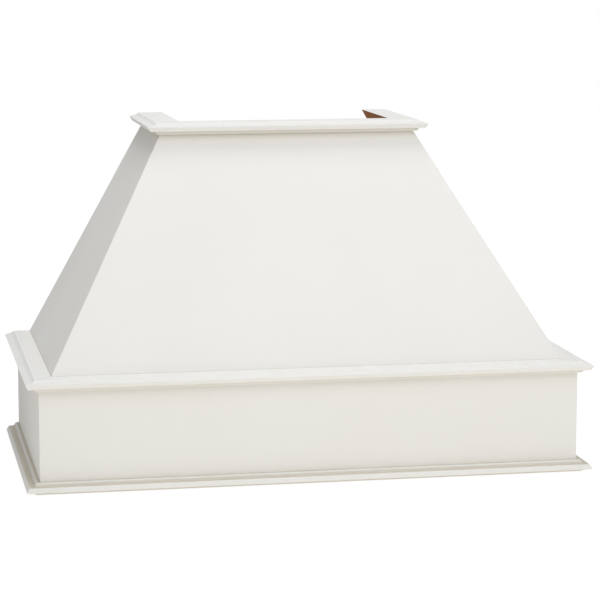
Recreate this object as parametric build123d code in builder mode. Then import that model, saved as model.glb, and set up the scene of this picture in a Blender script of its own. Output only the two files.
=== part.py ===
"""A wooden range hood cover: a straight apron, a chimney that leans in on three sides, and one
small moulding run three times, round the apron's foot, round the shelf and round the top.

Lengths are millimetres. +Z is up, X is the width, the front faces -Y and the wall is on the +Y
side. The origin is on the floor, in the middle of the cover's whole box.
"""

from build123d import *

import os
from math import hypot

os.makedirs("parts", exist_ok=True)

# ---------------------------------------------------------------- the cover's own size
apron_width = 762.0  # over the outer faces of the side boards
apron_depth = 407.0  # from the front board's face to the wall
apron_height = 158.8  # from the floor to the shelf
cover_height = 489.0  # from the floor to the top
top_width = 355.0  # over the chimney's side boards, at the top
top_depth = 200.5  # from the chimney's front face to the wall, at the top
board_thickness = 19.0

# ---------------------------------------------------------------- the moulding's section
# Seen from its end: out from the board it covers, and down from its flat top.
moulding_projection = 19.0
flat_width = 5.6  # the flat top in front of the board
cove_width = 5.9
cove_drop = 3.4
cove_sagitta = 0.4  # how far the cove hollows out between its two ends
lip_drop = 5.0  # the outer arris below the flat top
chamfer_width = 3.7
chamfer_drop = 6.7
hollow_radius = 2.0
fillet_width = 0.4  # the flat between hollow and bead
bead_radius = 2.8
bead_setback = 3.5  # from the board to the bead's centre

# ---------------------------------------------------------------- inside the cover
deck_thickness = 19.0
deck_width = 60.0
rail_thickness = 19.0
rail_height = 70.0
upper_rail_drop = 170.0  # from the cover's top to the rail's upper edge
rail_block_size = 19.0
foot_cleat_width = 30.0
foot_cleat_height = 25.0
batten_leg = 28.0
batten_drop = 45.0  # from the cover's top to the batten's upper end
corner_block_leg = 32.0
liner_cleat_thickness = 19.0
liner_cleat_height = 38.0
liner_recess = 12.0  # from the floor up to the cleats

# ---------------------------------------------------------------- holes and screws
stud_spacing = 406.4  # between the screws into two wall studs
stud_hole_radius = 2.75
screw_shank_radius = 2.0
screw_head_radius = 4.0
screw_length = 32.0
screw_tip_length = 4.0
screw_clearance = 0.1  # all round a screw and past its tip
screw_end_distance = 60.0  # from a cleat's end to its first screw
recess_width = 1.2  # the cross in a screw's head
recess_length = 4.4
recess_depth = 1.4
front_screw_count = 4
side_screw_count = 2

# ---------------------------------------------------------------- worked out from these
front_y = moulding_projection - (apron_depth + moulding_projection) / 2
wall_y = front_y + apron_depth
apron_half = apron_width / 2
inner_half = apron_half - board_thickness
inner_front_y = front_y + board_thickness

moulding_height = lip_drop + chamfer_drop + hollow_radius + bead_radius
hollow_setback = bead_setback + bead_radius + fillet_width + hollow_radius

# The chimney's foot stands inside the apron's boards; its corners lean in evenly to the top.
chimney_height = cover_height - apron_height
top_half = top_width / 2
top_front_y = wall_y - top_depth
side_lean = (inner_half - top_half) / chimney_height
front_lean = (top_front_y - inner_front_y) / chimney_height
side_wall = board_thickness * hypot(1, side_lean)  # the leaning boards, measured level
front_wall = board_thickness * hypot(1, front_lean)

deck_z = apron_height - deck_thickness
foot_cleat_top = apron_height + foot_cleat_height
upper_rail_top = cover_height - upper_rail_drop
upper_rail_bottom = upper_rail_top - rail_height
lower_rail_bottom = apron_height - rail_height
rail_front_y = wall_y - rail_thickness
liner_cleat_top = liner_recess + liner_cleat_height
liner_inner_y = inner_front_y + liner_cleat_thickness

sides = {"left": -1, "right": 1}
pieces = {}


def outer_half(z):
    """Half the chimney's width over its boards at height z."""
    return inner_half - side_lean * (z - apron_height)


def outer_front(z):
    """The chimney's front face at height z."""
    return inner_front_y + front_lean * (z - apron_height)


def hollow_half(z):
    """Half the chimney's width between its boards at height z."""
    return outer_half(z) - side_wall


def hollow_front(z):
    """The inside of the chimney's front board at height z."""
    return outer_front(z) + front_wall


def upright_mitre(side, corner_x, corner_y):
    """The plane of an upright mitre through a corner; its upper side is the front run."""
    return Plane(origin=(side * corner_x, corner_y, 0), z_dir=(-side, -1, 0))


def hip_mitre(side):
    """The plane between a leaning side board and the front one; its upper side is the front."""
    foot = Vector(side * inner_half, inner_front_y, apron_height)
    top = Vector(side * top_half, top_front_y, cover_height)
    inwards = Vector(-side * side_wall, front_wall, 0)
    return Plane(origin=foot, z_dir=(top - foot).cross(inwards) * side)


def section_plane(origin, outwards, up):
    """A plane across a run of moulding: x points out of the board, y to the flat top."""
    outwards = Vector(outwards)
    return Plane(origin=origin, x_dir=outwards, z_dir=outwards.cross(Vector(0, 0, up)))


def moulding_section(plane, back):
    """The moulding's section, reaching back behind the face of the board."""
    with BuildSketch(plane) as section:
        with BuildLine():
            fillet_y = -(lip_drop + chamfer_drop + hollow_radius)
            fillet_x = hollow_setback - hollow_radius
            bead_x = bead_setback + bead_radius
            Polyline(
                (bead_setback, -moulding_height),
                (-back, -moulding_height),
                (-back, 0),
                (flat_width, 0),
            )
            SagittaArc((flat_width, 0), (flat_width + cove_width, -cove_drop), -cove_sagitta)
            Polyline(
                (flat_width + cove_width, -cove_drop),
                (moulding_projection, -lip_drop),
                (moulding_projection - chamfer_width, -lip_drop - chamfer_drop),
                (hollow_setback, -lip_drop - chamfer_drop),
            )
            CenterArc((hollow_setback, fillet_y), hollow_radius, 90, 90)
            Line((fillet_x, fillet_y), (bead_x, fillet_y))
            CenterArc((bead_setback, fillet_y), bead_radius, 0, -90)
        make_face()
    return section.sketch


def row_locations(plane, length, count):
    """The places of a row of screws along the plane's x direction."""
    spacing = (length - 2 * screw_end_distance) / (count - 1)
    return [plane * place for place in GridLocations(spacing, 0, count, 1).locations]


# ---------------------------------------------------------------- tools for cutting and trimming
def leaning_solid(half_width, front):
    """The chimney's tapering space between the given half width and front, back to the wall."""
    with BuildPart() as space:
        with BuildSketch(Plane.YZ):
            Polygon(
                (front(apron_height), apron_height),
                (wall_y, apron_height),
                (wall_y, cover_height),
                (front(cover_height), cover_height),
            )
        extrude(amount=half_width(apron_height), both=True)
        with BuildSketch(Plane.XZ.offset(-wall_y)):
            Polygon(
                (-half_width(apron_height), apron_height),
                (half_width(apron_height), apron_height),
                (half_width(cover_height), cover_height),
                (-half_width(cover_height), cover_height),
            )
        extrude(amount=apron_depth, mode=Mode.INTERSECT)
    return space.part


chimney_body = leaning_solid(outer_half, outer_front)
chimney_hollow = leaning_solid(hollow_half, hollow_front)

# ---------------------------------------------------------------- the screw
# Its head's flat top is on the XY plane and its tip points down.
with BuildPart() as screw:
    with BuildSketch(Plane.XZ):
        Polygon(
            (0, 0),
            (screw_head_radius, 0),
            (screw_shank_radius, screw_shank_radius - screw_head_radius),
            (screw_shank_radius, screw_tip_length - screw_length),
            (0, -screw_length),
        )
    revolve(axis=Axis.Z)
    with BuildSketch(Plane.XY):
        Rectangle(recess_length, recess_width)
        Rectangle(recess_width, recess_length)
    extrude(amount=-recess_depth, mode=Mode.SUBTRACT)

# The hole it makes, a clearance larger all round.
with BuildPart() as screw_hole:
    with BuildSketch(Plane.XZ):
        hole_radius = screw_shank_radius + screw_clearance
        mouth_radius = screw_head_radius + screw_clearance
        Polygon(
            (0, 0),
            (mouth_radius, 0),
            (hole_radius, hole_radius - mouth_radius),
            (hole_radius, -screw_length - screw_clearance),
            (0, -screw_length - screw_clearance),
        )
    revolve(axis=Axis.Z)

# The foot cleats' screws go down into the deck, halfway along the flat on each cleat's top.
front_cleat_y = hollow_front(apron_height) + foot_cleat_width
front_flat = foot_cleat_width - front_lean * foot_cleat_height
side_cleat_x = hollow_half(apron_height) - foot_cleat_width
side_flat = foot_cleat_width - side_lean * foot_cleat_height
side_cleat_middle = (front_cleat_y + wall_y) / 2
foot_screws = row_locations(
    Plane((0, front_cleat_y - front_flat / 2, foot_cleat_top)),
    2 * hollow_half(foot_cleat_top),
    front_screw_count,
)
for side in sides.values():
    foot_screws += row_locations(
        Plane((side * (side_cleat_x + side_flat / 2), side_cleat_middle, foot_cleat_top), (0, 1, 0)),
        wall_y - front_cleat_y,
        side_screw_count,
    )

# The liner cleats' screws go out into the apron's boards, at half the cleats' height.
liner_screw_z = liner_recess + liner_cleat_height / 2
liner_side_middle = (liner_inner_y + rail_front_y) / 2
liner_screws = row_locations(
    Plane((0, liner_inner_y, liner_screw_z), (1, 0, 0), (0, 1, 0)),
    2 * inner_half,
    front_screw_count,
)
for side in sides.values():
    liner_screws += row_locations(
        Plane(
            (side * (inner_half - liner_cleat_thickness), liner_side_middle, liner_screw_z),
            (0, 1, 0),
            (-side, 0, 0),
        ),
        rail_front_y - liner_inner_y,
        side_screw_count,
    )


def screws_at(locations):
    """Copies of the screw at the given places."""
    return [screw.part.moved(place) for place in locations]


def holes_at(locations):
    """Copies of the screw's hole at the given places."""
    return [screw_hole.part.moved(place) for place in locations]


# ---------------------------------------------------------------- the apron
with BuildPart() as apron_front:
    with BuildSketch(Plane.XY):
        Polygon(
            (-apron_half, front_y),
            (apron_half, front_y),
            (inner_half, inner_front_y),
            (-inner_half, inner_front_y),
        )
    extrude(amount=apron_height)
    add(holes_at(liner_screws), mode=Mode.SUBTRACT)
pieces["apron_front"] = apron_front.part

for hand, side in sides.items():
    with BuildPart() as apron_side:
        with BuildSketch(Plane.XY):
            Polygon(
                (side * apron_half, front_y),
                (side * inner_half, inner_front_y),
                (side * inner_half, wall_y),
                (side * apron_half, wall_y),
            )
        extrude(amount=apron_height)
        add(holes_at(liner_screws), mode=Mode.SUBTRACT)
    pieces[f"apron_{hand}"] = apron_side.part

# ---------------------------------------------------------------- the chimney
with BuildPart() as chimney_front:
    with BuildSketch(Plane.YZ):
        Polygon(
            (outer_front(apron_height), apron_height),
            (hollow_front(apron_height), apron_height),
            (hollow_front(cover_height), cover_height),
            (outer_front(cover_height), cover_height),
        )
    extrude(amount=inner_half, both=True)
    for side in sides.values():
        split(bisect_by=hip_mitre(side), keep=Keep.TOP)
pieces["chimney_front"] = chimney_front.part

for hand, side in sides.items():
    with BuildPart() as chimney_side:
        with BuildSketch(Plane.XZ.offset(-wall_y)):
            Polygon(
                (side * outer_half(apron_height), apron_height),
                (side * hollow_half(apron_height), apron_height),
                (side * hollow_half(cover_height), cover_height),
                (side * outer_half(cover_height), cover_height),
            )
        extrude(amount=apron_depth)
        split(bisect_by=hip_mitre(side), keep=Keep.BOTTOM)
    pieces[f"chimney_{hand}"] = chimney_side.part

# ---------------------------------------------------------------- the three runs of moulding
# Each run: the corner it turns, the height of its flat, which way that faces, and how far its
# section reaches behind the corner. The top run's back is cut to the leaning boards.
top_run_z = cover_height - moulding_height
runs = {
    "base_moulding": (apron_half, front_y, 0, -1, 0),
    "shelf_moulding": (apron_half, front_y, apron_height, 1, 0),
    "top_moulding": (
        outer_half(top_run_z),
        outer_front(top_run_z),
        cover_height,
        1,
        board_thickness,
    ),
}
for run, (corner_x, corner_y, flat_z, up, back) in runs.items():
    with BuildPart() as moulding_front:
        section = section_plane((0, corner_y, flat_z), (0, -1, 0), up)
        extrude(moulding_section(section, back), amount=corner_x + moulding_projection, both=True)
        for side in sides.values():
            split(bisect_by=upright_mitre(side, corner_x, corner_y), keep=Keep.TOP)
        add(chimney_body, mode=Mode.SUBTRACT)
    pieces[f"{run}_front"] = moulding_front.part

    for hand, side in sides.items():
        with BuildPart() as moulding_side:
            section = section_plane((side * corner_x, wall_y, flat_z), (side, 0, 0), up)
            run_length = wall_y - corner_y + moulding_projection
            extrude(moulding_section(section, back), amount=run_length, dir=(0, -1, 0))
            split(bisect_by=upright_mitre(side, corner_x, corner_y), keep=Keep.BOTTOM)
            add(chimney_body, mode=Mode.SUBTRACT)
        pieces[f"{run}_{hand}"] = moulding_side.part

# ---------------------------------------------------------------- the deck the chimney stands on
with BuildPart() as deck_front:
    with BuildSketch(Plane.XY.offset(deck_z)):
        with Locations((0, inner_front_y + deck_width / 2)):
            Rectangle(2 * inner_half, deck_width)
    extrude(amount=deck_thickness)
    add(holes_at(foot_screws), mode=Mode.SUBTRACT)
pieces["deck_front"] = deck_front.part

for hand, side in sides.items():
    with BuildPart() as deck_side:
        with BuildSketch(Plane.XY.offset(deck_z)):
            Polygon(
                (side * inner_half, inner_front_y + deck_width),
                (side * (inner_half - deck_width), inner_front_y + deck_width),
                (side * (inner_half - deck_width), rail_front_y),
                (side * inner_half, rail_front_y),
            )
        extrude(amount=deck_thickness)
        add(holes_at(foot_screws), mode=Mode.SUBTRACT)
    pieces[f"deck_{hand}"] = deck_side.part

# ---------------------------------------------------------------- the foot cleats on the deck
with BuildPart() as foot_cleat_front:
    with BuildSketch(Plane.YZ):
        Polygon(
            (hollow_front(apron_height), apron_height),
            (front_cleat_y, apron_height),
            (front_cleat_y, foot_cleat_top),
            (hollow_front(foot_cleat_top), foot_cleat_top),
        )
    extrude(amount=hollow_half(apron_height), both=True)
    add(chimney_hollow, mode=Mode.INTERSECT)
    add(holes_at(foot_screws), mode=Mode.SUBTRACT)
pieces["foot_cleat_front"] = foot_cleat_front.part

for hand, side in sides.items():
    with BuildPart() as foot_cleat_side:
        with BuildSketch(Plane.XZ.offset(-wall_y)):
            Polygon(
                (side * hollow_half(apron_height), apron_height),
                (side * side_cleat_x, apron_height),
                (side * side_cleat_x, foot_cleat_top),
                (side * hollow_half(foot_cleat_top), foot_cleat_top),
            )
        extrude(amount=wall_y - front_cleat_y)
        add(holes_at(foot_screws), mode=Mode.SUBTRACT)
    pieces[f"foot_cleat_{hand}"] = foot_cleat_side.part

# ---------------------------------------------------------------- battens down the two hips
for hand, side in sides.items():
    with BuildPart() as batten:
        foot = Vector(side * hollow_half(foot_cleat_top), hollow_front(foot_cleat_top), foot_cleat_top)
        batten_top = cover_height - batten_drop
        head = Vector(side * hollow_half(batten_top), hollow_front(batten_top), batten_top)
        with BuildSketch(Plane.XY.offset(foot_cleat_top)):
            Polygon(
                (foot.X, foot.Y),
                (foot.X - side * batten_leg, foot.Y),
                (foot.X, foot.Y + batten_leg),
            )
        extrude(amount=(head - foot).length, dir=head - foot)
    pieces[f"chimney_corner_batten_{hand}"] = batten.part

# ---------------------------------------------------------------- glue blocks in the apron
for hand, side in sides.items():
    with BuildPart() as corner_block:
        with BuildSketch(Plane.XY.offset(liner_cleat_top)):
            Polygon(
                (side * inner_half, inner_front_y),
                (side * (inner_half - corner_block_leg), inner_front_y),
                (side * inner_half, inner_front_y + corner_block_leg),
            )
        extrude(amount=deck_z - liner_cleat_top)
    pieces[f"apron_corner_block_{hand}"] = corner_block.part

# ---------------------------------------------------------------- rails that hang on the wall
rails = {
    "lower": (lower_rail_bottom, apron_height, inner_half, inner_half),
    "upper": (
        upper_rail_bottom,
        upper_rail_top,
        hollow_half(upper_rail_bottom),
        hollow_half(upper_rail_top),
    ),
}
for level, (bottom_z, rail_top_z, bottom_half, rail_top_half) in rails.items():
    with BuildPart() as rail:
        with BuildSketch(Plane.XZ.offset(-wall_y)):
            Polygon(
                (-bottom_half, bottom_z),
                (bottom_half, bottom_z),
                (rail_top_half, rail_top_z),
                (-rail_top_half, rail_top_z),
            )
            with Locations((0, bottom_z + rail_height / 2)):
                with GridLocations(stud_spacing, 0, 2, 1):
                    Circle(stud_hole_radius, mode=Mode.SUBTRACT)
        extrude(amount=rail_thickness)
    pieces[f"{level}_wall_rail"] = rail.part

# The blocks that hold the rails' ends: the lower ones stop under the deck.
block_tops = {"lower": (deck_z, inner_half), "upper": (upper_rail_top, hollow_half(upper_rail_top))}
for level, (block_top_z, block_top_half) in block_tops.items():
    bottom_z, _, bottom_half, _ = rails[level]
    for hand, side in sides.items():
        with BuildPart() as rail_block:
            with BuildSketch(Plane.XZ.offset(-rail_front_y)):
                Polygon(
                    (side * bottom_half, bottom_z),
                    (side * (bottom_half - rail_block_size), bottom_z),
                    (side * (block_top_half - rail_block_size), block_top_z),
                    (side * block_top_half, block_top_z),
                )
            extrude(amount=rail_block_size)
        pieces[f"{level}_rail_block_{hand}"] = rail_block.part

# ---------------------------------------------------------------- cleats that carry the liner
with BuildPart() as liner_cleat_front:
    with BuildSketch(Plane.XY.offset(liner_recess)):
        with Locations((0, inner_front_y + liner_cleat_thickness / 2)):
            Rectangle(2 * inner_half, liner_cleat_thickness)
    extrude(amount=liner_cleat_height)
    add(holes_at(liner_screws), mode=Mode.SUBTRACT)
pieces["liner_cleat_front"] = liner_cleat_front.part

with BuildPart() as liner_cleat_rear:
    with BuildSketch(Plane.XY.offset(liner_recess)):
        with Locations((0, wall_y - rail_thickness / 2)):
            Rectangle(2 * inner_half, rail_thickness)
    extrude(amount=liner_cleat_height)
pieces["liner_cleat_rear"] = liner_cleat_rear.part

for hand, side in sides.items():
    with BuildPart() as liner_cleat_side:
        with BuildSketch(Plane.XY.offset(liner_recess)):
            Polygon(
                (side * inner_half, liner_inner_y),
                (side * (inner_half - liner_cleat_thickness), liner_inner_y),
                (side * (inner_half - liner_cleat_thickness), rail_front_y),
                (side * inner_half, rail_front_y),
            )
        extrude(amount=liner_cleat_height)
        add(holes_at(liner_screws), mode=Mode.SUBTRACT)
    pieces[f"liner_cleat_{hand}"] = liner_cleat_side.part

# ---------------------------------------------------------------- the screws themselves
with BuildPart() as foot_cleat_screws:
    add(screws_at(foot_screws))
pieces["foot_cleat_screws"] = foot_cleat_screws.part

with BuildPart() as liner_cleat_screws:
    add(screws_at(liner_screws))
pieces["liner_cleat_screws"] = liner_cleat_screws.part

# ---------------------------------------------------------------- the finished pieces
for name, part in pieces.items():
    part.label = name
    export_step(part, f"parts/{name}.step")
print(len(pieces), "pieces")
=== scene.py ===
# %% [markdown]
# # A painted wooden range hood cover
#
# This cover hides a cooker hood's fan and duct. An upright apron stands below, a chimney that
# leans in on three sides stands on it, and one small moulding runs round the apron's foot, round
# the shelf between the two and round the top. It is sprayed off-white outside and left as bare
# brown wood inside, with its back, its top and its bottom open.
#
# Everything below fits round it.

import math

import bpy
import numpy as np
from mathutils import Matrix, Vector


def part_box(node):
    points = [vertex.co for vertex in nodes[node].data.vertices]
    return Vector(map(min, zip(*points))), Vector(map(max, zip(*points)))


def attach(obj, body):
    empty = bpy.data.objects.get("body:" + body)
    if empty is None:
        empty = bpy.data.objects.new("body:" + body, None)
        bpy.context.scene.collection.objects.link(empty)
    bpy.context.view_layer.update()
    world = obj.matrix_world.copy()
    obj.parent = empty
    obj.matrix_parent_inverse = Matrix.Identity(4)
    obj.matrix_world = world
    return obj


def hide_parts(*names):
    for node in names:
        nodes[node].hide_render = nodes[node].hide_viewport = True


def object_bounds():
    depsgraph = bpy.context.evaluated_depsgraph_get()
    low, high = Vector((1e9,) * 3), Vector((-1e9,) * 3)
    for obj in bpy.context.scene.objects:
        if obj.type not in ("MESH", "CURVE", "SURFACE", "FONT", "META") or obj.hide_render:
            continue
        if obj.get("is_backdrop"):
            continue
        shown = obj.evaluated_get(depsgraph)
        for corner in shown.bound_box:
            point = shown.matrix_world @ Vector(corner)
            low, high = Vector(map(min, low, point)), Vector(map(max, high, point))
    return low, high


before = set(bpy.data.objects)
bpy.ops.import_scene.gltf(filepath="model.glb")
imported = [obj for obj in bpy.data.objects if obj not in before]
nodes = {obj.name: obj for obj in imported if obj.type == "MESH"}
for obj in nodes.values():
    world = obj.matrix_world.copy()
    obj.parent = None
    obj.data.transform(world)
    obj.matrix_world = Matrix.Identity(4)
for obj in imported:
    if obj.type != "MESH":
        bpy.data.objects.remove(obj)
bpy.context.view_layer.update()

# %% [markdown]
# ## Where the boards are
#
# The outside boards get finer surfaces than the solid model's: eased arrises, hairline mitres and
# two finishes on one board. Their sizes are read from the frame's own corners and not typed in
# again, so that a surface can't drift away from the solid that it stands for.

# %% Read the boards' corners from the frame
MM = 0.001
# Points whose heights or depths differ by less than this lie in one plane.
SAME = 0.01 * MM


def ring_of(node, height):
    """Outside half width and front, inside half width and front, of the boards at one height.

    The front board's corners at that height are the outline's four mitre corners: the foremost
    pair gives the outside of the cover and the rear pair its inside.
    """
    mesh = nodes[node].data
    points = np.zeros(len(mesh.vertices) * 3, np.float32)
    mesh.vertices.foreach_get("co", points)
    x, y, z = points.reshape(-1, 3).T.astype(float)
    level = np.abs(z - height) < SAME
    inside = level & (y > y[level].max() - SAME)
    return np.array([x[level].max(), y[level].min(), x[inside].max(), y[level].max()])


shelf_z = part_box("apron_front")[1].z
top_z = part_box("chimney_front")[1].z
wall_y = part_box("apron_left")[1].y
apron_ring = ring_of("apron_front", 0.0)
foot_ring = ring_of("chimney_front", shelf_z)
top_ring = ring_of("chimney_front", top_z)
print("shelf at", shelf_z, "top at", top_z, "wall at", wall_y)
print("half widths: apron", apron_ring[0], "chimney foot", foot_ring[0], "chimney top", top_ring[0])

# %% [markdown]
# ## From arrays to meshes
#
# Every new piece is a closed ring of points, its section, set at several stations along a path.
# The points make a grid, station by station, so the faces are plain index arithmetic. The two end
# rings are closed with one flat face each. Sharp edges are kept where faces turn by more than 30
# degrees, and the Weighted Normal modifier lets the wide flat faces set the shading, so that the
# narrow eased arrises round off without bending the light on the boards.

# %% Build a mesh from stations of rings
SHARP_TURN = math.radians(30)


def swept_mesh(name, rings, face_slots, label, values):
    """A closed surface through rings, an array of stations by points by x, y, z.

    Face (j, i) joins points i and i + 1 of ring j with the same two of ring j + 1, counted round
    the ring, and each end ring is one face. A negative volume, which is the sum of the signed
    tetrahedra from the origin to every face, means that the faces point inwards: they are turned.
    face_slots gives the material number of each band i, then those of the two end faces.
    values gives each point of the ring a number, kept as an attribute that is named by label.
    """
    stations, count = rings.shape[:2]
    index = np.arange(stations * count).reshape(stations, count)
    ahead = np.roll(index, -1, axis=1)
    quads = np.stack([index[:-1], ahead[:-1], ahead[1:], index[1:]], axis=-1).reshape(-1, 4)
    faces = quads.tolist() + [index[0, ::-1].tolist(), index[-1].tolist()]
    points = rings.reshape(-1, 3)
    mesh = bpy.data.meshes.new(name)
    mesh.from_pydata(points.tolist(), [], faces)
    mesh.update()
    normals = np.zeros(len(faces) * 3, np.float32)
    centres, areas = np.zeros_like(normals), np.zeros(len(faces), np.float32)
    mesh.polygons.foreach_get("normal", normals)
    mesh.polygons.foreach_get("center", centres)
    mesh.polygons.foreach_get("area", areas)
    outwards = (normals * centres).reshape(-1, 3).sum(axis=1) * areas
    if outwards.sum() < 0:
        mesh.flip_normals()
    bands = np.tile(face_slots[:-2], stations - 1)
    slots = np.concatenate([bands, face_slots[-2:]]).astype(np.int32)
    mesh.polygons.foreach_set("material_index", slots)
    kept = mesh.attributes.new(label, "FLOAT", "POINT")
    kept.data.foreach_set("value", np.tile(values, stations).astype(np.float32))
    return mesh


print("edges stay sharp above", round(math.degrees(SHARP_TURN)), "degrees")

# %% Put a mesh in the scene as a piece
# At 50 the modifier lets all faces count alike, and at 100 the widest ones count most.
BY_AREA = 100


def placed_piece(mesh, stands_for, materials):
    """Puts a mesh in the scene as a piece that rides on the cover and stands for one CAD node.

    It says how far the mesh's box is from the box of the solid that it stands for.
    """
    piece = bpy.data.objects.new(mesh.name, mesh)
    bpy.context.scene.collection.objects.link(piece)
    for material in materials:
        mesh.materials.append(material)
    mesh.polygons.foreach_set("use_smooth", np.ones(len(mesh.polygons), bool))
    mesh.set_sharp_from_angle(angle=SHARP_TURN)
    even = piece.modifiers.new("even shading", "WEIGHTED_NORMAL")
    even.weight = BY_AREA
    even.keep_sharp = True
    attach(piece, "root")
    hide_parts(stands_for)
    low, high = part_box(stands_for)
    corners = np.zeros(len(mesh.vertices) * 3, np.float32)
    mesh.vertices.foreach_get("co", corners)
    corners = corners.reshape(-1, 3)
    off = max(np.abs(corners.min(0) - low).max(), np.abs(corners.max(0) - high).max())
    print(f"{mesh.name}: {len(mesh.polygons)} faces, {off / MM:.2f} mm from its solid's box")
    return piece


print("weighted normals: weight", BY_AREA)

# %% [markdown]
# ## Eased corners
#
# A cutter leaves a sharp arris, sandpaper takes it off, and paint rounds it further, so no edge on
# the real cover is sharp. Every corner of a section is therefore swapped for a short curve. A
# second ring, drawn in by a hair, sits at both ends of each run: two runs that meet in a mitre
# then show the fine line of a real glued joint.

# %% Round and shrink a section
EASE_STEPS = 5
# The most of a side that the easing of one of its ends may take.
SHORT_SIDE = 0.45
HAIR = 0.2 * MM


def eased(points, reach):
    """The closed outline with each corner swapped for a curve that starts and ends at reach.

    The curve is (1 - t)^2 A + 2 t (1 - t) P + t^2 B, where P is the corner, A and B lie on its two
    sides at the reach, or just short of the middle of a side that is too short for it, and t goes
    from 0 to 1. A corner with no reach stays one point.
    """
    before, after = np.roll(points, 1, axis=0) - points, np.roll(points, -1, axis=0) - points
    length_before = np.linalg.norm(before, axis=1)
    length_after = np.linalg.norm(after, axis=1)
    share_before = np.minimum(reach / length_before, SHORT_SIDE)[:, None]
    share_after = np.minimum(reach / length_after, SHORT_SIDE)[:, None]
    a = (points + before * share_before)[:, None]
    b = (points + after * share_after)[:, None]
    t = np.linspace(0, 1, EASE_STEPS)[None, :, None]
    curves = (1 - t) ** 2 * a + 2 * t * (1 - t) * points[:, None] + t**2 * b
    return curves[(reach[:, None] > 0) | (np.arange(EASE_STEPS) == 0)]


def drawn_in(outline, distance):
    """The closed outline moved inwards: each point goes against its two sides' mean normal."""
    side = np.roll(outline, -1, axis=0) - outline
    side /= np.linalg.norm(side, axis=1)[:, None]
    normal = np.stack([side[:, 1], -side[:, 0]], axis=1)
    corner = normal + np.roll(normal, 1, axis=0)
    corner /= np.linalg.norm(corner, axis=1)[:, None]
    x, y = outline.T
    turn = np.sign((x * np.roll(y, -1) - np.roll(x, -1) * y).sum())
    return outline - turn * distance * corner


print("easing:", EASE_STEPS, "points a corner, and a hairline of", HAIR / MM, "mm")

# %% [markdown]
# ## The moulding's section
#
# Seen from its end, the moulding has a flat top, a shallow cove down to a lip, a chamfer back
# under the lip, a hollow, a narrow fillet and a bead. Arcs are sampled with sine and cosine, and
# the rest are straight lines between stops measured out from the board and down from the flat.
# All sizes here are in millimetres, and so is how far each corner's rounding reaches.

# %% Sample the section
FLAT, COVE, COVE_DROP, COVE_DEPTH = 5.6, 5.9, 3.4, 0.4
PROJECTION, LIP, CHAMFER, CHAMFER_DROP = 19.0, 5.0, 3.7, 6.7
HOLLOW, FILLET, BEAD, BEAD_SETBACK = 2.0, 0.4, 2.8, 3.5
ARC_STEPS = 9
SECTION_HEIGHT = LIP + CHAMFER_DROP + HOLLOW + BEAD
FLAT_ROUND, COVE_ROUND, LIP_ROUND, BEAD_ROUND, BACK_ROUND = 0.4, 0.6, 0.8, 0.4, 0.25


def moulding_section(back_lean):
    """The section as rows of out, up, in metres, eased; its back leans in by back_lean.

    Cove: the straight line from stop to stop, moved into the wood by 4 s t (1 - t), s being its
    depth. Hollow and bead: centre + radius (cos a, sin a), over a quarter turn each.
    """
    t = np.linspace(0, 1, ARC_STEPS)[:, None]
    quarter = t * math.pi / 2
    start, end = np.array([FLAT, 0.0]), np.array([FLAT + COVE, -COVE_DROP])
    square = np.array([end[1] - start[1], start[0] - end[0]]) / np.linalg.norm(end - start)
    cove = start + (end - start) * t + square * 4 * COVE_DEPTH * t * (1 - t)
    fillet_z = -(LIP + CHAMFER_DROP + HOLLOW)
    hollow_x = BEAD_SETBACK + BEAD + FILLET + HOLLOW
    hollow = np.hstack([hollow_x - HOLLOW * np.sin(quarter), fillet_z + HOLLOW * np.cos(quarter)])
    bead = np.hstack([BEAD_SETBACK + BEAD * np.cos(quarter), fillet_z - BEAD * np.sin(quarter)])
    lip = np.array([[PROJECTION, -LIP], [PROJECTION - CHAMFER, -LIP - CHAMFER_DROP]])
    back = np.array([[0.0, -SECTION_HEIGHT], [-back_lean * SECTION_HEIGHT, 0.0]])
    points = np.vstack([cove, lip, hollow, bead, back]) * MM
    reach = np.zeros(len(points))
    lip_at, hollow_end = ARC_STEPS, 2 * ARC_STEPS + 1
    reach[[0, lip_at - 1]] = FLAT_ROUND, COVE_ROUND
    reach[[lip_at, lip_at + 1]] = LIP_ROUND
    reach[[hollow_end, hollow_end + 1]] = BEAD_ROUND
    reach[[-2, -1]] = BACK_ROUND
    return eased(points, reach * MM)


print("moulding section:", len(moulding_section(0.0)), "points,", SECTION_HEIGHT, "mm high")


# %% Find where the groove's painted shade lies on the section
def groove_shade_depth(section):
    """How much painted shade each point of a section gets in the groove, from 0 to 1.

    Below the chamfer it depends only on how far out the point is: 1 on the narrow step behind the
    bead, 0 on the bead, 0.5 at the bead's foot, 1 from the hollow's end to a millimetre before the
    chamfer's edge, and 0 at that edge. It is 0 on all that lies above.
    """
    out, up = section.T / MM
    foot, edge = BEAD_SETBACK + BEAD, PROJECTION - CHAMFER
    stops = {
        BEAD_SETBACK - 0.1: 1.0,
        BEAD_SETBACK + 0.3: 0.0,
        foot - 0.4: 0.0,
        foot: 0.5,
        foot + FILLET + HOLLOW: 1.0,
        edge - 1.0: 1.0,
        edge: 0.0,
    }
    below = up < 0.3 - LIP - CHAMFER_DROP
    return np.interp(out, list(stops), list(stops.values())) * below


deepest = groove_shade_depth(moulding_section(0.0)) == 1
print("points of the section in the groove's full tone:", deepest.sum())

# %% [markdown]
# ## Carrying the section round the cover
#
# A run is the section carried along a straight path. At a mitre it is stretched along the
# diagonal: the point that lies u out from the board lies u to the side as well. So station j has
# a place O, an outward arrow W, which is diagonal at a mitre and square at the wall, and the
# up arrow V, and the surface is S(i, j) = O_j + u_i W_j + v_i V.


# %% A run's rings
def carried(sections, places, arrows, up):
    """S(i, j) = O_j + u_i W_j + v_i V for all points i of the section at every station j."""
    out, rise = sections[..., :1], sections[..., 1:]
    return places[:, None] + out * arrows[:, None] + rise * np.array([0.0, 0.0, up])


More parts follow.
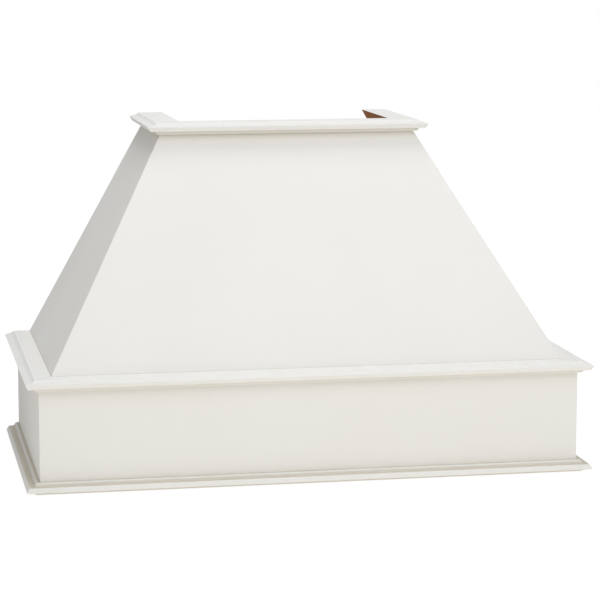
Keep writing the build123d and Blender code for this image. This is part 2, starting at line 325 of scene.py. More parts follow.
def moulding_run(hand, half, front, flat_z, up, leans):
    """Rings of one run. Hand is 0 for the front run, -1 for the left one and 1 for the right.

    Half and front are the board's half width and front face at the run, flat_z is the height of
    the moulding's flat, up is 1, or -1 where the moulding is upside down, and leans say how much
    the backs of the front run and of the side runs lean.
    """
    section = moulding_section(leans[0] if hand == 0 else leans[1])
    small = drawn_in(section, HAIR)
    sections = np.stack([small, section, section, small])
    heights = np.full(len(sections), flat_z)
    if hand == 0:
        along = np.array([-half, -half + HAIR, half - HAIR, half])
        places = np.stack([along, np.full(len(sections), front), heights], axis=1)
        arrows = np.array([[-1.0, -1, 0], [-1, -1, 0], [1, -1, 0], [1, -1, 0]])
    else:
        along = np.array([front, front + HAIR, wall_y - HAIR, wall_y])
        places = np.stack([np.full(len(sections), hand * half), along, heights], axis=1)
        arrows = np.array([[hand, -1.0, 0], [hand, -1, 0], [hand, 0, 0], [hand, 0, 0]])
    return carried(sections, places, arrows, up)


lean = (foot_ring - top_ring) / (top_z - shelf_z)
run_foot = top_ring + lean * SECTION_HEIGHT * MM
print("leans of the chimney's side and front:", np.abs(lean[:2]).round(3), "to 1")

# %% Make the nine runs
PAINT, BARE, CUT = 0, 1, 2
# Half width, front face, height of the flat, up or down, and the leans of the backs.
RUNS = {
    "base_moulding": (apron_ring[0], apron_ring[1], 0.0, -1.0, (0.0, 0.0)),
    "shelf_moulding": (apron_ring[0], apron_ring[1], shelf_z, 1.0, (0.0, 0.0)),
    "top_moulding": (run_foot[0], run_foot[1], top_z, 1.0, (-lean[1], lean[0])),
}
HANDS = {"front": 0, "left": -1, "right": 1}
run_meshes = {}
for run in RUNS:
    for side, hand in HANDS.items():
        rings = moulding_run(hand, *RUNS[run])
        finish = [PAINT] * (rings.shape[1] + 1) + [PAINT if hand == 0 else BARE]
        # Each run's mesh carries how much painted shade its groove gets.
        shade = groove_shade_depth(moulding_section(RUNS[run][-1][0 if hand == 0 else 1]))
        name = f"painted_{run}_{side}"
        run_meshes[f"{run}_{side}"] = swept_mesh(name, rings, finish, "groove", shade)
run_faces = len(run_meshes["base_moulding_front"].polygons)
print(len(run_meshes), "runs of moulding, each", run_faces, "faces")

# %% [markdown]
# ## The six boards
#
# A board's level section is the same kind of ring. It is drawn at the board's foot and at its
# head, and the heights between are mixed in a straight line, which gives an upright apron board
# and a leaning chimney board with one function. The outer corner turns half of a small round on
# each board, so that the two boards together show one eased arris.

# %% A board's section and surface
ARRIS = 0.9 * MM
ARRIS_STEPS = 6
# Share of the board's thickness, near enough, that the hairline takes off its rear edge.
SKIN = 0.01


def board_section(hand, ring):
    """Level section of a board: rows of x, y, the finish of each side, and depth through it.

    The round is centre + r (cos a, sin a) over an eighth of a turn, from the mitre to the face.
    Depth is 0 on the painted face and 1 on the bare one.
    """
    half, front, inner_half, inner_front = ring
    turn = np.linspace(-math.pi / 4, -math.pi / 2 if hand == 0 else 0.0, ARRIS_STEPS)
    centre = np.array([half - ARRIS, front + ARRIS])
    arris = centre + ARRIS * np.stack([np.cos(turn), np.sin(turn)], axis=1)
    if hand == 0:
        mirrored = arris[::-1] * [-1, 1]
        inner = [[-inner_half, inner_front], [inner_half, inner_front]]
        points = np.vstack([arris, mirrored, inner])
        finish = [PAINT] * (2 * ARRIS_STEPS - 1) + [BARE] * 3
        depth = [0.0] * (2 * ARRIS_STEPS) + [1.0] * 2
        return points, finish, depth
    rear = [[half, wall_y - HAIR], [half - HAIR, wall_y], [inner_half + HAIR, wall_y]]
    inner = [[inner_half, wall_y - HAIR], [inner_half, inner_front]]
    points = np.vstack([arris, rear, inner])
    finish = [PAINT] * (ARRIS_STEPS + 1) + [CUT] + [BARE] * 3
    depth = [0.0] * (ARRIS_STEPS + 1) + [SKIN, 1.0 - SKIN, 1.0, 1.0]
    return points * [hand, 1], finish, depth


def board_mesh(name, hand, foot, head, foot_z, head_z):
    """S(i, j) = (1 - t_j) F_i + t_j H_i at height z_j, drawn in by a hair at foot and head."""
    low, finish, depth = board_section(hand, foot)
    high = board_section(hand, head)[0]
    heights = np.array([foot_z, foot_z + HAIR, head_z - HAIR, head_z])
    share = ((heights - foot_z) / (head_z - foot_z))[:, None, None]
    level = (1 - share) * low + share * high
    level[[0, -1]] = [drawn_in(level[0], HAIR), drawn_in(level[-1], HAIR)]
    rise = np.broadcast_to(heights[:, None, None], level.shape[:2] + (1,))
    rings = np.concatenate([level, rise], axis=2)
    return swept_mesh(name, rings, finish + [PAINT] * 2, "through", depth)


print("front board's section:", len(board_section(0, apron_ring)[0]), "points")

# %% Make the six boards
board_meshes = {}
for side, hand in HANDS.items():
    board_meshes[f"apron_{side}"] = board_mesh(
        f"painted_apron_{side}", hand, apron_ring, apron_ring, 0.0, shelf_z
    )
    board_meshes[f"chimney_{side}"] = board_mesh(
        f"painted_chimney_{side}", hand, foot_ring, top_ring, shelf_z, top_z
    )
print(len(board_meshes), "boards, each about", len(board_meshes["apron_left"].polygons), "faces")

# %% [markdown]
# ## Node groups for the finishes
#
# Some effects are shared by several materials, so each is a node group that is built once: the
# film that a spray gun leaves, corners and arrises, wood grain, and the plies of a sawn board. A
# group only puts out numbers that change over the surface. The shader stays in the material.

# %% Helpers that add and link shader nodes
NOISE_SPAN = (0.3, 0.7)


def add(tree, kind, inputs=None, **settings):
    """Adds one node to a tree, sets its settings, and fills or links its inputs by name."""
    node = tree.nodes.new(kind)
    for key, value in settings.items():
        setattr(node, key, value)
    for key, value in (inputs or {}).items():
        if isinstance(value, bpy.types.NodeSocket):
            tree.links.new(value, node.inputs[key])
        else:
            node.inputs[key].default_value = value
    return node


def maths(tree, operation, a, b=0.0):
    """The result of one arithmetic node."""
    return add(tree, "ShaderNodeMath", {0: a, 1: b}, operation=operation).outputs[0]


def vector_maths(tree, operation, a, b=(0.0, 0.0, 0.0)):
    """The outputs of one vector arithmetic node: its Vector and its Value."""
    return add(tree, "ShaderNodeVectorMath", {0: a, 1: b}, operation=operation).outputs


def remapped(tree, value, low, high, new_low=0.0, new_high=1.0):
    """Value taken smoothly from the range low..high to new_low..new_high and held inside it."""
    spans = {"From Min": low, "From Max": high, "To Min": new_low, "To Max": new_high}
    inputs = {"Value": value, **spans}
    return add(tree, "ShaderNodeMapRange", inputs, interpolation_type="SMOOTHSTEP").outputs[0]


def mixed(tree, factor, a, b):
    """Colour a where factor is 0 and colour b where it is 1."""
    return add(tree, "ShaderNodeMix", {0: factor, 6: a, 7: b}, data_type="RGBA").outputs[2]


def noise(tree, vector, scale, detail=2.0, roughness=0.5):
    """A noise pattern with scale in cells per metre, most of it within NOISE_SPAN."""
    inputs = {"Vector": vector, "Scale": scale, "Detail": detail, "Roughness": roughness}
    return add(tree, "ShaderNodeTexNoise", inputs).outputs["Fac"]


print("most of a noise lies within", NOISE_SPAN)


# %% Start a node group
def new_group(name, inputs, outputs):
    """A node group, its inputs, and a function that links the numbers that it puts out.

    An input is a vector where its value is None, and otherwise a number.
    """
    group = bpy.data.node_groups.new(name, "ShaderNodeTree")
    for label, value in inputs.items():
        kind = "NodeSocketVector" if value is None else "NodeSocketFloat"
        socket = group.interface.new_socket(label, in_out="INPUT", socket_type=kind)
        if value is not None:
            socket.default_value = value
    for label in outputs:
        group.interface.new_socket(label, in_out="OUTPUT", socket_type="NodeSocketFloat")
    ends = group.nodes.new("NodeGroupOutput").inputs

    def put_out(**values):
        for label, value in values.items():
            group.links.new(value, ends[label])
        print("group", name, "has", len(group.nodes), "nodes")

    return group, group.nodes.new("NodeGroupInput").outputs, put_out


print("node groups so far:", len(bpy.data.node_groups))

# %% [markdown]
# Paint from a spray gun dries with a fine pebbling, and its tone drifts very softly where the gun
# passed more slowly. Two noises of very different scale stand for that, with a dusty one on top.

# %% The sprayed film
DUST_FINER, DUST_SHARE = 3.1, 0.15
spray, given, put_out = new_group(
    "sprayed_film", {"Vector": None, "Cloud scale": 5.0, "Pebble scale": 420.0}, ["Cloud", "Pebble"]
)
passes = noise(spray, given["Vector"], given["Cloud scale"], detail=3.0, roughness=0.55)
pebbles = noise(spray, given["Vector"], given["Pebble scale"], detail=2.0, roughness=0.4)
dust_scale = maths(spray, "MULTIPLY", given["Pebble scale"], DUST_FINER)
dust = noise(spray, given["Vector"], dust_scale, detail=1.0)
put_out(
    Cloud=remapped(spray, passes, *NOISE_SPAN),
    Pebble=maths(spray, "ADD", pebbles, maths(spray, "MULTIPLY", dust, DUST_SHARE)),
)

# %% [markdown]
# Corners get painted shade: the paint turns a little darker and warmer there. Paint lies a little
# thinner on an arris. Ambient occlusion finds the corners: it is low where other surfaces stand
# close by. The Bevel node finds the arrises: it gives the direction that a rounded edge would face,
# which departs from the true one there.

# %% Painted corner shade and arrises
ARRIS_REACH = 1.2 * MM
edges, given, put_out = new_group("corner_shade_and_arrises", {"Reach": 0.03}, ["Corner", "Arris"])
open_sky = add(edges, "ShaderNodeAmbientOcclusion", {"Distance": given["Reach"]}, samples=6)
rounded = add(edges, "ShaderNodeBevel", {"Radius": ARRIS_REACH}, samples=4).outputs[0]
true = add(edges, "ShaderNodeNewGeometry").outputs["True Normal"]
same = vector_maths(edges, "DOT_PRODUCT", rounded, true)
put_out(
    Corner=remapped(edges, open_sky.outputs["AO"], low=0.9, high=0.4),
    Arris=remapped(edges, same["Value"], low=0.995, high=0.9),
)

# %% [markdown]
# Wood is a bundle of fibres, so its pattern is long one way and fine across. The group takes
# coordinates whose x runs along the grain and makes them finer across it before it asks for noise:
# fibres under a millimetre wide, short dark pores, soft bands, and the figure, which is the
# contour lines of one slow noise, as growth rings cut by a flat face are. A face that looks along
# the grain shows the cut ends of the fibres, and growth rings round a heart outside the piece.

# %% The grain of wood
RING_WIDTH, RING_WANDER = 2.6 * MM, 5.0 * MM
HEART, ACROSS = (0.0, 0.09, 0.06), (0.0, 1.0, 1.0)
CONTOURS = 70.0
wood, given, put_out = new_group(
    "wood_grain",
    {"Vector": None, "Normal": None, "Figure scale": 3.0},
    ["Fibre", "Pore", "Band", "Figure", "End", "Ring"],
)


def finer(across):
    """The group's vector, with both ways across the grain made finer by a factor."""
    return vector_maths(wood, "MULTIPLY", given["Vector"], (1.0, across, across))["Vector"]


slow = noise(wood, finer(6.0), given["Figure scale"], detail=2.0)
figure = maths(wood, "SINE", maths(wood, "MULTIPLY", slow, CONTOURS))
looks_along = add(wood, "ShaderNodeSeparateXYZ", {"Vector": given["Normal"]}).outputs["X"]
from_heart = vector_maths(wood, "SUBTRACT", given["Vector"], HEART)["Vector"]
flat = vector_maths(wood, "MULTIPLY", from_heart, ACROSS)["Vector"]
radius = vector_maths(wood, "LENGTH", flat)["Value"]
uneven = noise(wood, given["Vector"], scale=25.0, detail=1.0)
wander = maths(wood, "MULTIPLY", uneven, RING_WANDER)
turns = maths(wood, "MULTIPLY", maths(wood, "ADD", radius, wander), 2 * math.pi / RING_WIDTH)
pores = noise(wood, finer(14.0), scale=130.0, detail=1.0)
put_out(
    Fibre=noise(wood, finer(16.0), scale=75.0, detail=3.0, roughness=0.6),
    Pore=remapped(wood, pores, low=0.6, high=0.7),
    Band=noise(wood, finer(9.0), scale=14.0, detail=2.0),
    Figure=remapped(wood, figure, low=-1.0, high=1.0),
    End=remapped(wood, maths(wood, "ABSOLUTE", looks_along), low=0.75, high=0.92),
    Ring=remapped(wood, maths(wood, "SINE", turns), low=-0.6, high=1.0),
)

# %% [markdown]
# Plywood is glued from thin sheets, each with its grain turned against the next. Where a saw has
# cut it, every second ply shows its fibres' ends, darker, with a thin line of glue between. Depth
# through the board, from 0 to 1, times the number of plies gives both: the whole part tells one
# ply from the next, and the distance to the nearest whole number finds the glue. Here and there a
# knot has left a gap in a cross ply.

# %% The plies of a sawn board
PLY_COUNT = 9
# Half the width of a line of glue, in plies.
GLUE_HALF = 0.09
plies, given, put_out = new_group(
    "ply_layers", {"Through": 0.0, "Vector": None}, ["Cross", "Glue", "Gap"]
)
layer = maths(plies, "MULTIPLY", given["Through"], PLY_COUNT)
cross = maths(plies, "MODULO", maths(plies, "FLOOR", layer), 2.0)
to_glue = maths(plies, "PINGPONG", layer, 0.5)
knots = noise(plies, given["Vector"], scale=60.0, detail=1.0)
holes = remapped(plies, knots, low=0.66, high=0.70)
put_out(
    Cross=cross,
    Glue=remapped(plies, to_glue, low=0.0, high=GLUE_HALF, new_low=1.0, new_high=0.0),
    Gap=maths(plies, "MULTIPLY", holes, cross),
)

# %% [markdown]
# ## The paint
#
# The outside is a flat, slightly warm white, sprayed on smooth wood. Its tone drifts in soft
# clouds of about one per cent. Painted shade makes it a trace darker and warmer in the corners,
# and a clearly deeper, yellower line of painted shade lies in the moulding's groove.
# The faintest telegraph of the grain lies below the film: its relief is a few thousandths of a
# millimetre, so it only breaks up the sheen.

# %% Helpers for the materials
from mathutils import Vector

ALONG = {"x": (1.0, 0.0, 0.0), "y": (0.0, 1.0, 0.0), "z": (0.0, 0.0, 1.0)}


def new_material(name):
    """A new material, its tree, its shader, and the texture coordinates of its object."""
    material = bpy.data.materials.new(name)
    material.use_nodes = True
    tree = material.node_tree
    shader = tree.nodes["Principled BSDF"]
    return material, tree, shader, add(tree, "ShaderNodeTexCoord").outputs


def use_group(tree, group, inputs=None):
    """Places a node group in a material, fills or links its inputs, and gives its outputs."""
    return add(tree, "ShaderNodeGroup", inputs, node_tree=group).outputs


def use_grain(tree, coordinates, direction, shift=0.0):
    """The grain group's outputs, for grain along a direction, with a pattern moved by shift.

    The turn that brings the direction to the x axis is worked out here and set on two Mapping
    nodes, one for the place and one for the surface's direction.
    """
    turn = Vector(direction).rotation_difference(Vector((1.0, 0.0, 0.0))).to_euler()
    start = (shift, shift / 2, -shift)
    moved = {"Vector": coordinates["Object"], "Rotation": turn, "Location": start}
    place = add(tree, "ShaderNodeMapping", moved).outputs[0]
    turned = {"Vector": coordinates["Normal"], "Rotation": turn}
    facing = add(tree, "ShaderNodeMapping", turned, vector_type="VECTOR").outputs[0]
    return use_group(tree, wood, {"Vector": place, "Normal": facing})


def bumped(tree, shader, height, depth):
    """Feeds a height between 0 and 1 to the shader as a relief of that depth in metres."""
    relief = add(tree, "ShaderNodeBump", {"Strength": 1.0, "Distance": depth, "Height": height})
    tree.links.new(relief.outputs["Normal"], shader.inputs["Normal"])


print("grain can run along", list(ALONG))

# %% Make the paint
PAINT_LIGHT, PAINT_DEEP = (0.85, 0.846, 0.828, 1.0), (0.84, 0.834, 0.813, 1.0)
# The corner and groove colours are painted shade: darker and warmer than the paint, where shade
# falls.
PAINT_CORNER_SHADE, PAINT_GROOVE_SHADE = (0.82, 0.802, 0.748, 1.0), (0.67, 0.625, 0.525, 1.0)
PAINT_ROUGH, ARRIS_POLISH, PAINT_SPECULAR = (0.62, 0.68), 0.06, 0.3
PAINT_RELIEF, GRAIN_SHARE = 0.006 * MM, 0.3


def paint_for(axis):
    """Flat warm white over wood whose grain runs along one axis."""
    material, tree, shader, coordinates = new_material(f"sprayed_paint_{axis}")
    film = use_group(tree, spray, {"Vector": coordinates["Object"]})
    grain = use_grain(tree, coordinates, ALONG[axis])
    near = use_group(tree, edges)
    tone = mixed(tree, film["Cloud"], PAINT_LIGHT, PAINT_DEEP)
    # Painted shade: where ambient occlusion finds a corner, the paint turns darker and warmer.
    tone = mixed(tree, near["Corner"], tone, PAINT_CORNER_SHADE)
    # Painted shade: along the groove that is marked on the moulding's mesh, the paint turns deeper
    # and yellower.
    groove = add(tree, "ShaderNodeAttribute", attribute_name="groove").outputs["Fac"]
    tone = mixed(tree, groove, tone, PAINT_GROOVE_SHADE)
    tree.links.new(tone, shader.inputs["Base Color"])
    rough = remapped(tree, film["Cloud"], 0.0, 1.0, *PAINT_ROUGH)
    rough = maths(tree, "SUBTRACT", rough, maths(tree, "MULTIPLY", near["Arris"], ARRIS_POLISH))
    tree.links.new(rough, shader.inputs["Roughness"])
    fibres = maths(tree, "MULTIPLY", grain["Fibre"], GRAIN_SHARE)
    bumped(tree, shader, maths(tree, "ADD", film["Pebble"], fibres), PAINT_RELIEF)
    shader.inputs["Specular IOR Level"].default_value = PAINT_SPECULAR
    return material


paints = {axis: paint_for(axis) for axis in "xy"}
print("paints:", [material.name for material in paints.values()])

# %% [markdown]
# ## Bare wood
#
# The inside is brown and unfinished: straight, fine grain with small pores and no shine. One
# function makes it for every piece. The direction of the grain follows the piece's length, as a
# saw mill cuts it, and each kind of piece is a little lighter or deeper than the next.

# %% Make the bare wood
WOOD_LIGHT, WOOD_DEEP = (0.54, 0.238, 0.077), (0.378, 0.151, 0.044)
WOOD_PORE, WOOD_END = (0.216, 0.082, 0.023), (0.288, 0.118, 0.037)
WOOD_ROUGH, WOOD_SPECULAR, WOOD_RELIEF = (0.72, 0.86), 0.15, 0.06 * MM
FIGURE_SHARE, BAND_SHARE, PORE_SHARE = 0.35, 0.4, 0.7
RING_SHARE, END_PORE_SHARE = 0.6, 0.8


def toned(colour, tint):
    """A colour made lighter or deeper by a factor, with its alpha."""
    return tuple(channel * tint for channel in colour) + (1.0,)


def wood_for(name, direction, tint=1.0, shift=0.0):
    """Bare wood with its grain along a direction, lighter or deeper by a tint.

    The shift moves the pattern, so that no two pieces show the same part of it.
    """
    material, tree, shader, coordinates = new_material(name)
    grain = use_grain(tree, coordinates, direction, shift)
    light, deep, pore, end = (toned(c, tint) for c in (WOOD_LIGHT, WOOD_DEEP, WOOD_PORE, WOOD_END))
    tone = mixed(tree, remapped(tree, grain["Fibre"], *NOISE_SPAN), light, deep)
    tone = mixed(tree, maths(tree, "MULTIPLY", grain["Figure"], FIGURE_SHARE), tone, deep)
    band = remapped(tree, grain["Band"], low=0.35, high=0.75, new_high=BAND_SHARE)
    tone = mixed(tree, band, tone, light)
    tone = mixed(tree, maths(tree, "MULTIPLY", grain["Pore"], PORE_SHARE), tone, pore)
    cut = mixed(tree, maths(tree, "MULTIPLY", grain["Ring"], RING_SHARE), end, deep)
    cut = mixed(tree, maths(tree, "MULTIPLY", grain["Pore"], END_PORE_SHARE), cut, pore)
    tone = mixed(tree, grain["End"], tone, cut)
    tree.links.new(tone, shader.inputs["Base Color"])
    rough = remapped(tree, grain["Fibre"], 0.2, 0.8, *WOOD_ROUGH)
    tree.links.new(rough, shader.inputs["Roughness"])
    bumped(tree, shader, maths(tree, "SUBTRACT", grain["Fibre"], grain["Pore"]), WOOD_RELIEF)
    shader.inputs["Specular IOR Level"].default_value = WOOD_SPECULAR
    return material


bare = {axis: wood_for(f"bare_board_{axis}", ALONG[axis]) for axis in "xy"}
print("bare wood:", [material.name for material in bare.values()])

# %% [markdown]
# The boards' rear edges and the deck's edges are saw cuts through plywood. The boards' new meshes
# carry their depth as the attribute "through". The deck is a solid of the CAD model, so its depth
# is worked out from the height of the point, and only its upright faces show the plies.

# %% Show the plies
PLY_ALONG = toned(WOOD_LIGHT, 1.15), toned(WOOD_LIGHT, 0.9)
PLY_ACROSS = toned(WOOD_END, 1.25), toned(WOOD_END, 0.8)
GLUE, GAP, GLUE_SHARE = toned(WOOD_PORE, 0.6), toned(WOOD_PORE, 0.35), 0.75
SAWN_ROUGH, SAWN_RELIEF = (0.74, 0.88), 0.08 * MM


def ply_tone(tree, depth, coordinates):
    """Colour of a saw cut through plywood at a depth between 0 and 1."""
    cut = use_group(tree, plies, {"Through": depth, "Vector": coordinates["Object"]})
    flecks = noise(tree, coordinates["Object"], scale=900.0, detail=1.0)
    fleck = remapped(tree, flecks, low=0.35, high=0.65)
    along = mixed(tree, fleck, *PLY_ALONG)
    across = mixed(tree, fleck, *PLY_ACROSS)
    tone = mixed(tree, cut["Cross"], along, across)
    tone = mixed(tree, maths(tree, "MULTIPLY", cut["Glue"], GLUE_SHARE), tone, GLUE)
    return mixed(tree, cut["Gap"], tone, GAP)


def show_plies(material, low, thickness):
    """Puts plies on a bare wood's upright faces, at depth (z - low) / thickness."""
    tree = material.node_tree
    tone_in = tree.nodes["Principled BSDF"].inputs["Base Color"]
    coordinates = add(tree, "ShaderNodeTexCoord").outputs
    height = add(tree, "ShaderNodeSeparateXYZ", {"Vector": coordinates["Object"]}).outputs["Z"]
    depth = maths(tree, "DIVIDE", maths(tree, "SUBTRACT", height, low), thickness)
    rise = add(tree, "ShaderNodeSeparateXYZ", {"Vector": coordinates["Normal"]}).outputs["Z"]
    steep = maths(tree, "ABSOLUTE", rise)
    upright = remapped(tree, steep, low=0.4, high=0.6, new_low=1.0, new_high=0.0)
    tone = mixed(tree, upright, tone_in.links[0].from_socket, ply_tone(tree, depth, coordinates))
    tree.links.new(tone, tone_in)


print("a line of glue is", 2 * GLUE_HALF, "of a ply wide")

# %% Make the sawn edge
sawn, tree, shader, coordinates = new_material("sawn_edge")
depth = add(tree, "ShaderNodeAttribute", attribute_name="through").outputs["Fac"]
tree.links.new(ply_tone(tree, depth, coordinates), shader.inputs["Base Color"])
torn = noise(tree, coordinates["Object"], scale=500.0, detail=2.0)
rough = remapped(tree, torn, *NOISE_SPAN, *SAWN_ROUGH)
tree.links.new(rough, shader.inputs["Roughness"])
tooth_marks = noise(tree, coordinates["Object"], scale=1500.0, detail=2.0)
bumped(tree, shader, tooth_marks, SAWN_RELIEF)
shader.inputs["Specular IOR Level"].default_value = WOOD_SPECULAR
board_thickness = (apron_ring[0] - apron_ring[2]) / MM
print("sawn edge:", PLY_COUNT, "plies of", round(board_thickness / PLY_COUNT, 1), "mm")

# %% [markdown]
# ## Zinc-plated screws
#
# Zinc plating is a bright grey metal with a soft, cloudy shine. Its colour and roughness follow
# one noise, so that a dull patch is dull in both.

# %% Make the zinc
ZINC_BRIGHT, ZINC_DULL = (0.70, 0.69, 0.65, 1.0), (0.52, 0.52, 0.50, 1.0)
ZINC_ROUGH, DULL_ROUGHER, ZINC_RELIEF = 0.30, 0.18, 0.02 * MM
zinc, tree, shader, coordinates = new_material("zinc_plating")
patches = noise(tree, coordinates["Object"], scale=260.0, detail=3.0, roughness=0.6)
cloudy = remapped(tree, patches, *NOISE_SPAN)
tree.links.new(mixed(tree, cloudy, ZINC_BRIGHT, ZINC_DULL), shader.inputs["Base Color"])
rough = maths(tree, "ADD", ZINC_ROUGH, maths(tree, "MULTIPLY", cloudy, DULL_ROUGHER))
tree.links.new(rough, shader.inputs["Roughness"])
shader.inputs["Metallic"].default_value = 1.0
crystals = noise(tree, coordinates["Object"], scale=1800.0, detail=1.0)
bumped(tree, shader, crystals, ZINC_RELIEF)
print("screws:", zinc.name)

# %% [markdown]
# ## Finishes on the pieces
#
# Each new piece takes the place of its plain solid, so the solid is hidden and only stays for the
# physics. The mouldings' ends at the wall were sawn after painting and show bare wood.

# %% Put the painted pieces in place
for name, mesh in {**run_meshes, **board_meshes}.items():
    axis = "x" if name.endswith("front") else "y"
    placed_piece(mesh, name, [paints[axis], bare[axis], sawn])

# %% [markdown]
# The wood inside keeps its solids, whose shapes are right as they are, and gets its own finishes.
# The grain follows the longest side of each piece's box, but the two battens lean with the
# chimney's corners, so theirs runs from the foot's corner to the top's.

# %% Finish the wood and the screws inside
TINTS = {"block": 0.92, "deck": 1.05, "cleat": 0.97, "batten": 1.12, "rail": 1.18}
PATTERN_STEP = 0.31
lean_way = np.append(top_ring[2:] - foot_ring[2:], top_z - shelf_z)
inside = [name for name, solid in nodes.items() if not solid.hide_render]
for number, name in enumerate(sorted(inside)):
    low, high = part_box(name)
    if "screws" in name:
        finish = zinc
    else:
        direction = ALONG["xyz"[int(np.argmax(high - low))]]
        if "batten" in name:
            direction = lean_way * [1 if name.endswith("right") else -1, 1, 1]
        tint = next(tint for word, tint in TINTS.items() if word in name)
        finish = wood_for(f"bare_{name}", direction, tint, PATTERN_STEP * number)
    if name.startswith("deck"):
        show_plies(finish, low.z, high.z - low.z)
    nodes[name].data.materials.clear()
    nodes[name].data.materials.append(finish)
    print(name, "has", finish.name)

# %% [markdown]
# ## Floor and surroundings
#
# The photograph has a pure white background. A plain pale floor is seen white by the camera and in
# reflections, with the object's shadow kept on it and no line where it ends far away. The light
# that it sends up to the object is a little warm, as from a pale wooden floor, and gives the
# shaded undersides and the apron their cream tone. Most of it comes from in front, where a room
# would be, and little from beside and behind the cover, where the wall would be: the photograph's
# left side grows darker towards its foot, and its front doesn't. The floor is clear from below, so
# that the inside of the cover can be looked at from there.


# %% Helpers for floor and surroundings
def white_to_camera(tree):
    """1 for rays from the camera and for those seen in gloss or through glass, and 0 for others."""
    path = add(tree, "ShaderNodeLightPath").outputs
    seen = maths(tree, "MAXIMUM", path["Is Camera Ray"], path["Is Glossy Ray"])
    return maths(tree, "MAXIMUM", seen, path["Is Transmission Ray"])


def lit_and_glowing(tree, colour, share, glow):
    """A dull surface that sends back a share of its light and gives off a little of its own."""
    dull = add(tree, "ShaderNodeBsdfDiffuse", {"Color": tuple(share * c for c in colour) + (1.0,)})
    light = add(tree, "ShaderNodeEmission", {"Color": (*colour, 1.0), "Strength": glow})
    return add(tree, "ShaderNodeAddShader", {0: dull.outputs[0], 1: light.outputs[0]}).outputs[0]


WARM, WHITE = (1.0, 0.97, 0.91), (1.0, 1.0, 1.0)
print("light from the floor:", WARM, "and as the camera sees it:", WHITE)

# %% The floor
FLOOR_HALF, FLOOR_DROP = 4.0, 0.1 * MM
# What the object gets from it: a share of its light, and a glow that fades from front to back.
LIT_SHARE, GLOW_AHEAD, GLOW_BEHIND = 0.8, 0.34, 0.04
FADE_FROM, FADE_TO = -0.3, 0.2
# What the camera sees: mostly glow, and pure white from the far distance on.
SEEN_SHARE, SEEN_NEAR, SEEN_FAR = 0.2, 0.9, 1.0
NEAR, FAR = 0.6, 2.4
corners = np.array([[-1, -1, 0], [1, -1, 0], [1, 1, 0], [-1, 1, 0]]) * FLOOR_HALF
floor_mesh = bpy.data.meshes.new("floor")
floor_mesh.from_pydata((corners - [0, 0, FLOOR_DROP]).tolist(), [], [(0, 1, 2, 3)])
floor = bpy.data.objects.new("floor", floor_mesh)
bpy.context.scene.collection.objects.link(floor)
floor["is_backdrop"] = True

pale = bpy.data.materials.new("pale_floor")
pale.use_nodes = True
tree = pale.node_tree
tree.nodes.clear()
place = add(tree, "ShaderNodeTexCoord").outputs["Object"]
away = vector_maths(tree, "LENGTH", place)["Value"]
back = add(tree, "ShaderNodeSeparateXYZ", {"Vector": place}).outputs["Y"]
glow = remapped(tree, back, FADE_FROM, FADE_TO, GLOW_AHEAD, GLOW_BEHIND)
to_object = lit_and_glowing(tree, WARM, LIT_SHARE, glow)
glow = remapped(tree, away, NEAR, FAR, SEEN_NEAR, SEEN_FAR)
to_camera = lit_and_glowing(tree, WHITE, SEEN_SHARE, glow)
top = add(tree, "ShaderNodeMixShader", {0: white_to_camera(tree), 1: to_object, 2: to_camera})
below = add(tree, "ShaderNodeNewGeometry").outputs["Backfacing"]
clear = add(tree, "ShaderNodeBsdfTransparent")
both = add(tree, "ShaderNodeMixShader", {0: below, 1: top.outputs[0], 2: clear.outputs[0]})
add(tree, "ShaderNodeOutputMaterial", {"Surface": both.outputs[0]})
floor_mesh.materials.append(pale)
print("floor:", 2 * FLOOR_HALF, "m wide")

# %% The surroundings
SKY = 0.375
world = bpy.data.worlds.new("studio")
bpy.context.scene.world = world
world.use_nodes = True
tree = world.node_tree
tree.nodes.clear()
soft = add(tree, "ShaderNodeBackground", {"Color": (*WHITE, 1.0), "Strength": SKY})
plain = add(tree, "ShaderNodeBackground", {"Color": (*WHITE, 1.0), "Strength": 1.0})
seen = white_to_camera(tree)
both = add(tree, "ShaderNodeMixShader", {0: seen, 1: soft.outputs[0], 2: plain.outputs[0]})
add(tree, "ShaderNodeOutputWorld", {"Surface": both.outputs[0]})
print("sky strength", SKY)

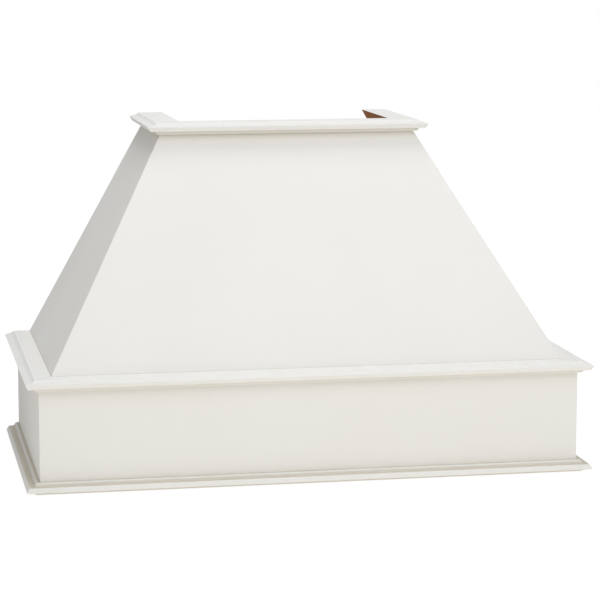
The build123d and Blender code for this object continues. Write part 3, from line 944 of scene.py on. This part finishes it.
# %% [markdown]
# ## Light
#
# In the photograph the front is bright, what faces up is brighter still, the left side is about
# half as bright, and a soft shade lies under each moulding. Three soft boxes give that. The small
# one overhead lights the flats and draws the shade under the top moulding. The one high in front
# lights the leaning chimney, and the one at the right evens out the apron and leaves the left
# side to the sky and the floor.


# %% Soft boxes
def soft_box(name, place, target, side, power):
    """A square area light at a place, turned to face a target."""
    light = bpy.data.lights.new(name, "AREA")
    light.shape, light.size, light.energy = "SQUARE", side, power
    lamp = bpy.data.objects.new(name, light)
    lamp.location = place
    lamp.rotation_euler = (Vector(target) - Vector(place)).to_track_quat("-Z", "Y").to_euler()
    bpy.context.scene.collection.objects.link(lamp)
    print(name, "at", place, "with", power, "W")


middle = (0.0, 0.0, 0.25)
soft_box("high_box", (0.0, -2.4, 2.6), middle, side=2.0, power=28.5)
soft_box("overhead_box", (0.0, -0.1, 3.0), middle, side=1.2, power=24.5)
soft_box("side_box", (1.6, -3.0, 1.6), middle, side=2.0, power=14.0)

# %% [markdown]
# ## Camera
#
# Its place, direction and focal length were worked out from about forty corner points of the
# photograph. The upright edges there are exactly parallel, though the cover is seen from above,
# as a lens that is shifted down draws them. A full shift would push the cover out of the middle
# of every other view, so only a small one is used, and the camera looks a little down as well.

# %% The camera
LENS, SENSOR, LENS_SHIFT = 138.89, 36.0, -0.05
CAMERA_PLACE = (-0.615, -3.29067, 0.74812)
LOOKS_DOWN, LOOKS_RIGHT = 0.1414, 0.1899
view = bpy.data.cameras.new("photo_view")
view.lens, view.sensor_width, view.shift_y = LENS, SENSOR, LENS_SHIFT
view.clip_start, view.clip_end = 0.1, 60.0
camera = bpy.data.objects.new("photo_view", view)
camera.location = CAMERA_PLACE
camera.rotation_euler = (math.pi / 2 - LOOKS_DOWN, 0.0, -LOOKS_RIGHT)
bpy.context.scene.collection.objects.link(camera)
bpy.context.scene.camera = camera
bpy.context.scene.view_settings.view_transform = "Standard"
print("camera:", view.lens, "mm lens at", tuple(camera.location))

# %% Measure the box round what is drawn
low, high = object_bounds()
